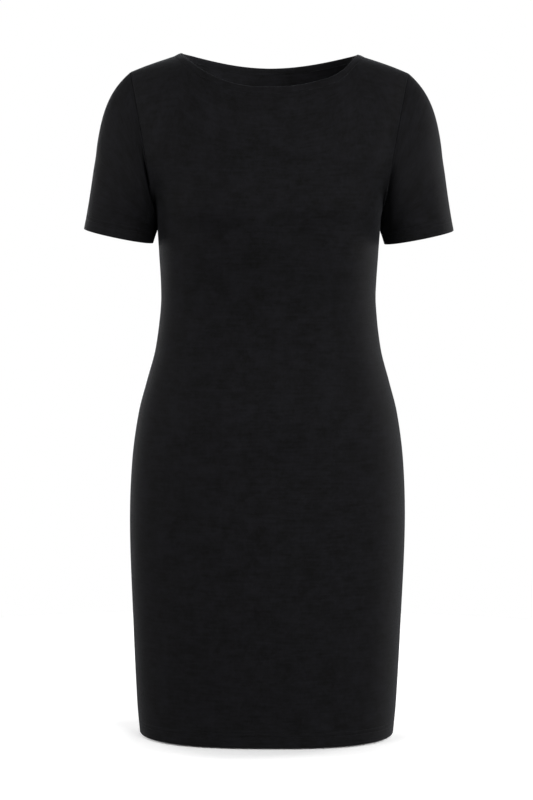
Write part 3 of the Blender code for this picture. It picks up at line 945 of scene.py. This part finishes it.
def body_stitch_line(side, distance, settings):
    """(points, normals) of a row of stitching across the front or the back."""
    level = distance / BODY_HEIGHT
    lift = hem_relief("body", distance, settings) + THREAD_RISE
    acrosses = [across for across, _ in panel_row(side, level)[:-1]]
    pairs = [(body_point(side, at, level), body_outward(side, at, level)) for at in acrosses]
    pairs = [(point * MIRROR, normal * MIRROR) for point, normal in pairs[:0:-1]] + pairs
    points = [point + normal * (panel_relief(side, point) + lift) for point, normal in pairs]
    return points, [normal for _, normal in pairs]


def sleeve_stitch_line(hand, distance, settings):
    """The same round a sleeve."""
    mirror = Vector((hand, 1, 1))
    hem_lift = hem_relief("sleeve", distance, settings)
    points, normals = [], []
    for column in range(SLEEVE_COLUMNS + 1):
        round_ = column / SLEEVE_COLUMNS % 1
        curve, samples, lengths = sleeve_line(round_)
        down = read_at(distance, lengths, samples)
        normal = sleeve_outward(round_, down)
        lift = hem_lift + (sleeve_relief(round_, down, lengths[-1]) + THREAD_RISE)
        points.append((hermite(*curve, down) + normal * lift) * mirror)
        normals.append(normal * mirror)
    return points, normals


# ---- Materials ----


def linear_colour(hex_colour):
    """The linear colour, with full alpha, of an sRGB hex value."""
    parts = [int(hex_colour[k : k + 2], 16) / 255 for k in (0, 2, 4)]
    linear = [c / 12.92 if c <= 0.04045 else ((c + 0.055) / 1.055) ** 2.4 for c in parts]
    return (*linear, 1.0)


def set_inputs(node, inputs):
    """Sets or links a node's inputs. A node given as a value stands for its first output."""
    for name, value in inputs.items():
        if isinstance(value, bpy.types.Node):
            value = value.outputs[0]
        if isinstance(value, bpy.types.NodeSocket):
            node.id_data.links.new(value, node.inputs[name])
        else:
            node.inputs[name].default_value = value


def add_node(tree, kind, inputs=None, **settings):
    """Adds a node with its settings and its inputs' values and links."""
    node = tree.nodes.new(kind)
    for name, value in settings.items():
        setattr(node, name, value)
    set_inputs(node, inputs or {})
    return node


def new_material(name):
    """(material, its shader, add_node for its tree)"""
    material = bpy.data.materials.new(name)
    material.use_nodes = True
    tree = material.node_tree
    return material, tree.nodes["Principled BSDF"], partial(add_node, tree)


def set_ramp(ramp, places, colours):
    """Sets where the two ends of a colour ramp are, and their colours."""
    for end, place, shade in zip(ramp.elements, places, colours):
        end.position, end.color = place, shade


# Double-knit jersey: dull-dyed yarn knitted on two beds. Its loops are too fine to see one by one, so
# the face is smooth and matt. What shows is how unevenly the yarn takes the dye: a level grain where
# courses differ, drawn coarser than the real one so that it shows, and a fine clouding all over.
WALE = 1.1 * MM
COURSE = 0.9 * MM
WAVE_HEIGHT = 0.35  # of the loops along a wale, as a share of the relief's height
VALLEY = (3, -4.8)  # how narrow the valleys between wales are, and how deep
GRAIN = (30 * MM, 3.2 * MM)  # length and height of a streak
GRAIN_HEIGHT = 0.9  # the same of a streak
GRAIN_SHARE = 0.36  # of the shade, where the clouding's is 1
LOOP_SHARE = 0.05  # the same of the loops
CLOUD = 34 * MM
DYE_RANGE = (0.515, 0.80)  # the shades between which the dye goes from deep to pale
ROUGHNESS = (0.80, 0.10)  # at least, and more by the clouding
RELIEF = (0.55, 0.12 * MM)  # strength and height of the bump


def knit_group(settings):
    """Knit's colour, height and roughness from a map in metres and the wear of its edges."""
    group = bpy.data.node_groups.new("double_knit_face", "ShaderNodeTree")
    add = partial(add_node, group)
    for way, name, kind in (
        ("INPUT", "Map", "Vector"),
        ("INPUT", "Wear", "Float"),
        ("OUTPUT", "Colour", "Color"),
        ("OUTPUT", "Height", "Float"),
        ("OUTPUT", "Roughness", "Float"),
    ):
        group.interface.new_socket(name, in_out=way, socket_type=f"NodeSocket{kind}")
    start = add("NodeGroupInput")
    # Loops: a wave up each wale, slanting both ways from its middle, between valleys.
    loop_map = add("ShaderNodeMapping", {"Vector": start, "Scale": (1 / WALE, 1 / COURSE, 1)})
    place = add("ShaderNodeSeparateXYZ", {0: loop_map})
    slant = add("ShaderNodeMath", {0: place, 1: 0.5}, operation="PINGPONG")
    height = add("ShaderNodeMath", {0: place.outputs["Y"], 1: slant}, operation="ADD")
    turn = add("ShaderNodeMath", {0: height, 1: 2 * pi}, operation="MULTIPLY")
    wave = add("ShaderNodeMath", {0: turn}, operation="SINE")
    valley = add("ShaderNodeMath", {0: slant, 1: VALLEY[0]}, operation="POWER")
    valley = add("ShaderNodeMath", {0: valley, 1: VALLEY[1]}, operation="MULTIPLY")
    loops = add("ShaderNodeMath", {0: wave, 1: WAVE_HEIGHT, 2: valley}, operation="MULTIPLY_ADD")
    # Unevenness: the level grain, and clouding of every size down to a few loops.
    size = (1 / GRAIN[0], 1 / GRAIN[1], 1)
    grain_map = add("ShaderNodeMapping", {"Vector": start, "Scale": size})
    grain = {"Vector": grain_map, "Scale": 1.0, "Detail": 2.0, "Roughness": 0.6}
    grain = add("ShaderNodeTexNoise", grain)
    cloud = {"Vector": start, "Scale": 1 / CLOUD, "Detail": 5.0, "Roughness": 1.0}
    cloud = add("ShaderNodeTexNoise", cloud)
    relief = add("ShaderNodeMath", {0: grain, 1: GRAIN_HEIGHT, 2: loops}, operation="MULTIPLY_ADD")
    uneven = add("ShaderNodeMath", {0: grain, 1: GRAIN_SHARE, 2: cloud}, operation="MULTIPLY_ADD")
    shade = add("ShaderNodeMath", {0: loops, 1: LOOP_SHARE, 2: uneven}, operation="MULTIPLY_ADD")
    dye = add("ShaderNodeValToRGB", {"Fac": shade})
    set_ramp(dye.color_ramp, DYE_RANGE, (settings.dye_deep, settings.dye_pale))
    worn = {"Factor": start.outputs["Wear"], 6: dye, 7: settings.dye_worn}
    worn = add("ShaderNodeMix", worn, data_type="RGBA")
    rough = add("ShaderNodeMath", {0: cloud, 1: ROUGHNESS[1], 2: ROUGHNESS[0]}, operation="MULTIPLY_ADD")
    faces = {"Colour": worn.outputs[2], "Height": relief, "Roughness": rough}
    add("NodeGroupOutput", faces)
    return group


def knit_material(settings):
    """Double-knit jersey, reactive-dyed black. Its fine fibre ends catch light at grazing angles."""
    material, shader, add = new_material("double_knit_jersey_dyed")
    cloth_map = add("ShaderNodeUVMap", uv_map="cloth")
    wear = add("ShaderNodeAttribute", attribute_name="wear").outputs["Fac"]
    face = add("ShaderNodeGroup", {"Map": cloth_map, "Wear": wear}, node_tree=knit_group(settings))
    bump = {"Height": face.outputs["Height"], "Strength": RELIEF[0], "Distance": RELIEF[1]}
    looks = {
        "Base Color": face.outputs["Colour"],
        "Roughness": face.outputs["Roughness"],
        "Normal": add("ShaderNodeBump", bump),
        "Metallic": 0,
        "IOR": 1.5,
        "Specular IOR Level": settings.gloss,
        "Sheen Weight": settings.sheen,
        "Sheen Roughness": settings.sheen_roughness,
        "Sheen Tint": linear_colour("E8ECF4"),
    }
    set_inputs(shader, looks)
    return material


PLY = 1.2 * MM  # length of the thread's twist
THREAD_DYES = ("050506", "0B0B0D")
THREAD_RANGE = (0.35, 0.65)


def thread_material():
    """Spun polyester sewing thread: black, a little smoother than the knit, so that it glints."""
    material, shader, add = new_material("polyester_thread_spun")
    where = add("ShaderNodeTexCoord").outputs["Object"]
    twist = add("ShaderNodeTexNoise", {"Vector": where, "Scale": 1 / PLY, "Detail": 1.0})
    dye = add("ShaderNodeValToRGB", {"Fac": twist})
    set_ramp(dye.color_ramp, THREAD_RANGE, [linear_colour(name) for name in THREAD_DYES])
    bump = add("ShaderNodeBump", {"Height": twist, "Strength": 0.3, "Distance": 0.05 * MM})
    looks = {"Base Color": dye, "Normal": bump, "Roughness": 0.55, "Specular IOR Level": 0.15}
    set_inputs(shader, looks)
    return material


def cloth_material(settings):
    return bpy.data.materials.get("double_knit_jersey_dyed") or knit_material(settings)


def stitch_material():
    return bpy.data.materials.get("polyester_thread_spun") or thread_material()


ACRYLIC_CLOUD = 2 * MM
ACRYLIC_WHITES = ("F4F4F4", "FAFAFA")
# The painted shadow before the hem, where the glow is dimmed: the shift and scales that make it a
# round one about the origin, the radii between which the glow rises, and the glow's share in its middle.
PAINTED_SHADOW_SHIFT = (0.0, 0.10, 0.0)
PAINTED_SHADOW_SCALE = (0.6, 1.0, 0.0)
PAINTED_SHADOW_RADII = (0.05, 0.17)
PAINTED_SHADOW_GLOW = 0.1


def stage_material(settings):
    """Opal acrylic sheet lit from below: white, matt, with a faint cloudiness.

    A painted shadow darkens it before the hem, where its glow is dimmed, so the dress keeps a soft shadow
    that grounds it.
    """
    material, shader, add = new_material("opal_acrylic_backlit")
    where = add("ShaderNodeTexCoord").outputs["Object"]
    cloud = add("ShaderNodeTexNoise", {"Vector": where, "Scale": 1 / ACRYLIC_CLOUD, "Detail": 2.0})
    white = add("ShaderNodeValToRGB", {"Fac": cloud})
    set_ramp(white.color_ramp, (0.0, 1.0), [linear_colour(name) for name in ACRYLIC_WHITES])
    # Painted shadow: the floor's glow is dimmed in a round patch before the hem, least in its middle.
    painted_shadow_place = add("ShaderNodeMapping", {"Vector": where, "Location": PAINTED_SHADOW_SHIFT, "Scale": PAINTED_SHADOW_SCALE})
    away = add("ShaderNodeVectorMath", {0: painted_shadow_place}, operation="LENGTH")
    seen = add("ShaderNodeLightPath").outputs["Is Camera Ray"]
    most = {0: seen, 2: settings.floor_glow, 3: settings.floor_white}
    most = add("ShaderNodeMix", most, data_type="FLOAT")
    spread = {
        "Value": away.outputs["Value"],
        "From Min": PAINTED_SHADOW_RADII[0],
        "From Max": PAINTED_SHADOW_RADII[1],
        "To Min": settings.floor_glow * PAINTED_SHADOW_GLOW,
        "To Max": most,
    }
    glow = add("ShaderNodeMapRange", spread, interpolation_type="SMOOTHSTEP")
    looks = {"Base Color": white, "Emission Color": linear_colour("FFFFFF"), "Emission Strength": glow}
    set_inputs(shader, looks | {"Roughness": 0.9, "Specular IOR Level": 0.1})
    return material


def studio_world(settings):
    """A white surround that gives soft light from both sides and from above."""
    world = bpy.data.worlds.new("white_studio")
    world.use_nodes = True
    add = partial(add_node, world.node_tree)
    way = add("ShaderNodeSeparateXYZ", {0: add("ShaderNodeTexCoord").outputs["Generated"]})
    light = 0.0
    for axis, limit, power, strength in (
        ("Z", "MAXIMUM", 1, settings.overhead),
        ("X", "MAXIMUM", 2, settings.side_right),
        ("X", "MINIMUM", 2, settings.side_left),
    ):
        part = add("ShaderNodeMath", {0: way.outputs[axis], 1: 0.0}, operation=limit)
        part = add("ShaderNodeMath", {0: part, 1: power}, operation="POWER")
        light = add("ShaderNodeMath", {0: part, 1: strength, 2: light}, operation="MULTIPLY_ADD")
    seen = add("ShaderNodeLightPath").outputs["Is Camera Ray"]
    strength = add("ShaderNodeMix", {0: seen, 2: light, 3: settings.surround}, data_type="FLOAT")
    white = linear_colour("FFFFFF")
    set_inputs(world.node_tree.nodes["Background"], {"Color": white, "Strength": strength})
    return world


# ---- Settings ----

LENGTH = {"min": 0.0, "precision": 5, "subtype": "DISTANCE", "unit": "LENGTH"}
SHARE = {"min": 0.0, "max": 1.0, "subtype": "FACTOR"}
STRENGTH = {"min": 0.0}
POWER = {"min": 0.0, "unit": "POWER"}


def number(name, description, default, kind):
    return bpy.props.FloatProperty(name=name, description=description, default=default, **kind)


def colour(name, description, hex_colour):
    limits = {"size": 4, "min": 0.0, "max": 1.0, "subtype": "COLOR"}
    default = linear_colour(hex_colour)
    return bpy.props.FloatVectorProperty(name=name, description=description, default=default, **limits)


class DressSettings(bpy.types.PropertyGroup):
    """Sizes and finish of the dress's cloth"""

    thickness: number("Cloth thickness", "Thickness of the double-knit jersey", 0.00085, LENGTH)
    fold_radius: number("Hem fold", "Radius of the fold at the foot of a hem", 0.0010, LENGTH)
    seam_radius: number("Seam roll", "Radius at which a seam's edges turn in", 0.0006, LENGTH)
    allowance: number("Allowance", "How far a seam's allowance stands inside", 0.0040, LENGTH)
    stitch_depth: number("Stitch depth", "How deep stitching pulls the cloth in", 0.00016, LENGTH)
    hem_puff: number("Hem puff", "How far the hem swells beside its stitching", 0.00006, LENGTH)
    binding_wall: number("Binding wall", "Thickness of the neck binding's layers", 0.0008, LENGTH)
    dye_deep: colour("Deep dye", "The black where the yarn took most dye", "020202")
    dye_pale: colour("Pale dye", "The black where the yarn took least dye", "0F0F12")
    dye_worn: colour("Worn dye", "The black along the hems' folds", "131315")
    gloss: number("Gloss", "Specular level of the cloth", 0.125, SHARE)
    sheen: number("Sheen", "How much fibre ends catch light at the rims", 0.20, SHARE)
    sheen_roughness: number("Sheen roughness", "How wide the rims' light is", 0.28, SHARE)


class StageSettings(bpy.types.PropertyGroup):
    """Camera and light"""

    distance: number("Camera distance", "How far in front of the dress the camera stands", 3.3, LENGTH)
    across: number("Camera across", "How far to the right the camera stands", -0.002, {"unit": "LENGTH"})
    height: number("Camera height", "Height of the camera over the origin", -0.26, {"unit": "LENGTH"})
    pitch: number("Camera pitch", "How far the camera looks down", radians(3.5), {"subtype": "ANGLE"})
    roll: number("Camera roll", "How far the camera is rolled", radians(0.27), {"subtype": "ANGLE"})
    lens: number("Lens", "Focal length, in millimetres", 110.5, {"subtype": "DISTANCE_CAMERA"})
    surround: number("Surround", "How bright the background looks", 1.0, STRENGTH)
    side_right: number("Right side", "Light of the wall on the wearer's left", 0.80, STRENGTH)
    side_left: number("Left side", "Light of the wall on the wearer's right", 0.34, STRENGTH)
    overhead: number("Overhead", "Light from above", 0.24, STRENGTH)
    floor_glow: number("Floor glow", "Light of the backlit floor", 0.15, STRENGTH)
    floor_white: number("Floor white", "Brightness the floor shows to the camera", 0.45, STRENGTH)
    box_right: number("Right soft box", "Light from the front and the wearer's left", 16.0, POWER)
    box_left: number("Left soft box", "Light from the front and the wearer's right", 27.0, POWER)
    box_near: number("Near soft box", "Light from beside the camera", 31.0, POWER)
    rim_right: number("Right rim light", "Light from behind on the wearer's left", 17.5, POWER)
    rim_left: number("Left rim light", "Light from behind on the wearer's right", 10.5, POWER)
    side_rim: number("Left side light", "Light from the wearer's right side", 8.0, POWER)
    neck_fill: number("Neck fill", "Small soft light inside the neck", 0.16, POWER)


# ---- Operators ----


def sew_pieces(settings, sides, cloth):
    """Adds one piece of cloth for each side or hand."""
    for name, side in sides.items():
        mesh_bm = cloth(side, settings)
        add_piece(f"{name}_cloth", mesh_bm, cloth_material(settings), settings.thickness, name)
    return {"FINISHED"}


class DRESS_OT_panels(bpy.types.Operator):
    """Makes the front and the back, with their hems turned up"""

    bl_idname = "dress.panels"
    bl_label = "Front and Back"

    def execute(self, context):
        return sew_pieces(context.scene.dress, SIDES, panel_cloth)


class DRESS_OT_sleeves(bpy.types.Operator):
    """Makes the two set-in sleeves, with their hems turned up"""

    bl_idname = "dress.sleeves"
    bl_label = "Sleeves"

    def execute(self, context):
        return sew_pieces(context.scene.dress, HANDS, sleeve_cloth)


class DRESS_OT_neck_binding(bpy.types.Operator):
    """Makes the strip that is folded over the neck edge"""

    bl_idname = "dress.neck_binding"
    bl_label = "Neck Binding"

    def execute(self, context):
        settings = context.scene.dress
        mesh_bm = binding_cloth(settings)
        add_piece("neck_binding_cloth", mesh_bm, cloth_material(settings), node="neck_binding")
        return {"FINISHED"}


class DRESS_OT_stitching(bpy.types.Operator):
    """Sews the hems' twin-needle stitching"""

    bl_idname = "dress.stitching"
    bl_label = "Hem Stitching"

    def execute(self, context):
        settings = context.scene.dress
        mesh_bm = bmesh.new()
        for side in (FRONT, BACK):
            for distance in STITCH_LINES["body"]:
                add_stitches(mesh_bm, *body_stitch_line(side, distance, settings))
        add_piece("body_hem_stitching", mesh_bm, stitch_material())
        for name, hand in HANDS.items():
            mesh_bm = bmesh.new()
            for distance in STITCH_LINES["sleeve"]:
                add_stitches(mesh_bm, *sleeve_stitch_line(hand, distance, settings))
            add_piece(f"{name}_hem_stitching", mesh_bm, stitch_material())
        return {"FINISHED"}


class DRESS_OT_sheets(bpy.types.Operator):
    """Does nothing: it returns at once, stating no sizes"""

    bl_idname = "dress.sheets"
    bl_label = "Cut Sizes"

    def execute(self, context):
        return {"FINISHED"}


FLOOR_RADIUS = 1.1
FLOOR_SIDES = 96
FLOOR_DROP = 0.002  # below the hem
MIDDLE = (0, 0, -0.45)
BACK_NECK = (-0.07, 0.07, -0.020)
LIGHTS = (
    # name, place, aim, size, setting of its power
    ("soft_box_right", (1.7, -1.25, 0.15), MIDDLE, 1.2, "box_right"),
    ("soft_box_left", (-1.7, -1.25, 0.15), MIDDLE, 1.2, "box_left"),
    ("soft_box_near", (1.0, -2.0, 0.2), MIDDLE, 1.0, "box_near"),
    ("rim_light_right", (1.7, 1.0, -0.3), MIDDLE, 0.7, "rim_right"),
    ("rim_light_left", (-1.3, 1.6, -0.3), MIDDLE, 0.7, "rim_left"),
    ("side_light_left", (-2.0, 0.5, -0.15), MIDDLE, 0.7, "side_rim"),
    ("neck_fill", (-0.035, -0.035, -0.045), BACK_NECK, 0.07, "neck_fill"),
)


class DRESS_OT_stage(bpy.types.Operator):
    """Lays the floor, and sets the light and the camera"""

    bl_idname = "dress.stage"
    bl_label = "Stage"

    def execute(self, context):
        scene = context.scene
        settings = scene.dress_stage
        floor_bm = bmesh.new()
        level = Matrix.Translation((0, 0, HEM_HEIGHT - FLOOR_DROP))
        bmesh.ops.create_circle(
            floor_bm, cap_ends=True, segments=FLOOR_SIDES, radius=FLOOR_RADIUS, matrix=level
        )
        floor = add_mesh("floor", floor_bm, stage_material(settings))
        floor.visible_diffuse = False
        floor.visible_glossy = False

        scene.world = studio_world(settings)
        for name, place, aim, size, power in LIGHTS:
            light = bpy.data.lights.new(name, "AREA")
            light.size = size
            light.energy = getattr(settings, power)
            lamp = add_object(name, light)
            lamp.location = place
            lamp.rotation_mode = "QUATERNION"
            lamp.rotation_quaternion = (Vector(aim) - Vector(place)).to_track_quat("-Z", "Y")
            lamp.visible_camera = False

        camera = bpy.data.cameras.new("camera")
        camera.lens = settings.lens
        eye = add_object("camera", camera)
        eye.location = (settings.across, -settings.distance, settings.height)
        turn = Matrix.Rotation(pi / 2 - settings.pitch, 3, "X") @ Matrix.Rotation(settings.roll, 3, "Z")
        eye.rotation_euler = turn.to_euler()
        scene.camera = eye
        scene.view_settings.view_transform = "Standard"
        return {"FINISHED"}


class DRESS_PT_sidebar(bpy.types.Panel):
    """Lists the steps that make the dress"""

    bl_idname = "DRESS_PT_sidebar"
    bl_label = "Sheath Dress"
    bl_space_type = "VIEW_3D"
    bl_region_type = "UI"
    bl_category = "Dress"

    def draw(self, context):
        for group in (context.scene.dress, context.scene.dress_stage):
            column = self.layout.column()
            for name in group.bl_rna.properties.keys():
                if name not in ("rna_type", "name"):
                    column.prop(group, name)
        for step in STEPS:
            self.layout.operator(step.bl_idname)


STEPS = (
    DRESS_OT_stage,
    DRESS_OT_panels,
    DRESS_OT_sleeves,
    DRESS_OT_neck_binding,
    DRESS_OT_stitching,
    DRESS_OT_sheets,
)
CLASSES = (DressSettings, StageSettings, *STEPS, DRESS_PT_sidebar)


def register():
    for item in CLASSES:
        bpy.utils.register_class(item)
    bpy.types.Scene.dress = bpy.props.PointerProperty(type=DressSettings)
    bpy.types.Scene.dress_stage = bpy.props.PointerProperty(type=StageSettings)


def unregister():
    del bpy.types.Scene.dress_stage
    del bpy.types.Scene.dress
    for item in reversed(CLASSES):
        bpy.utils.unregister_class(item)


def main():
    register()
    for step in STEPS:
        group, name = step.bl_idname.split(".")
        getattr(getattr(bpy.ops, group), name)()


if __name__ == "__main__":
    main()
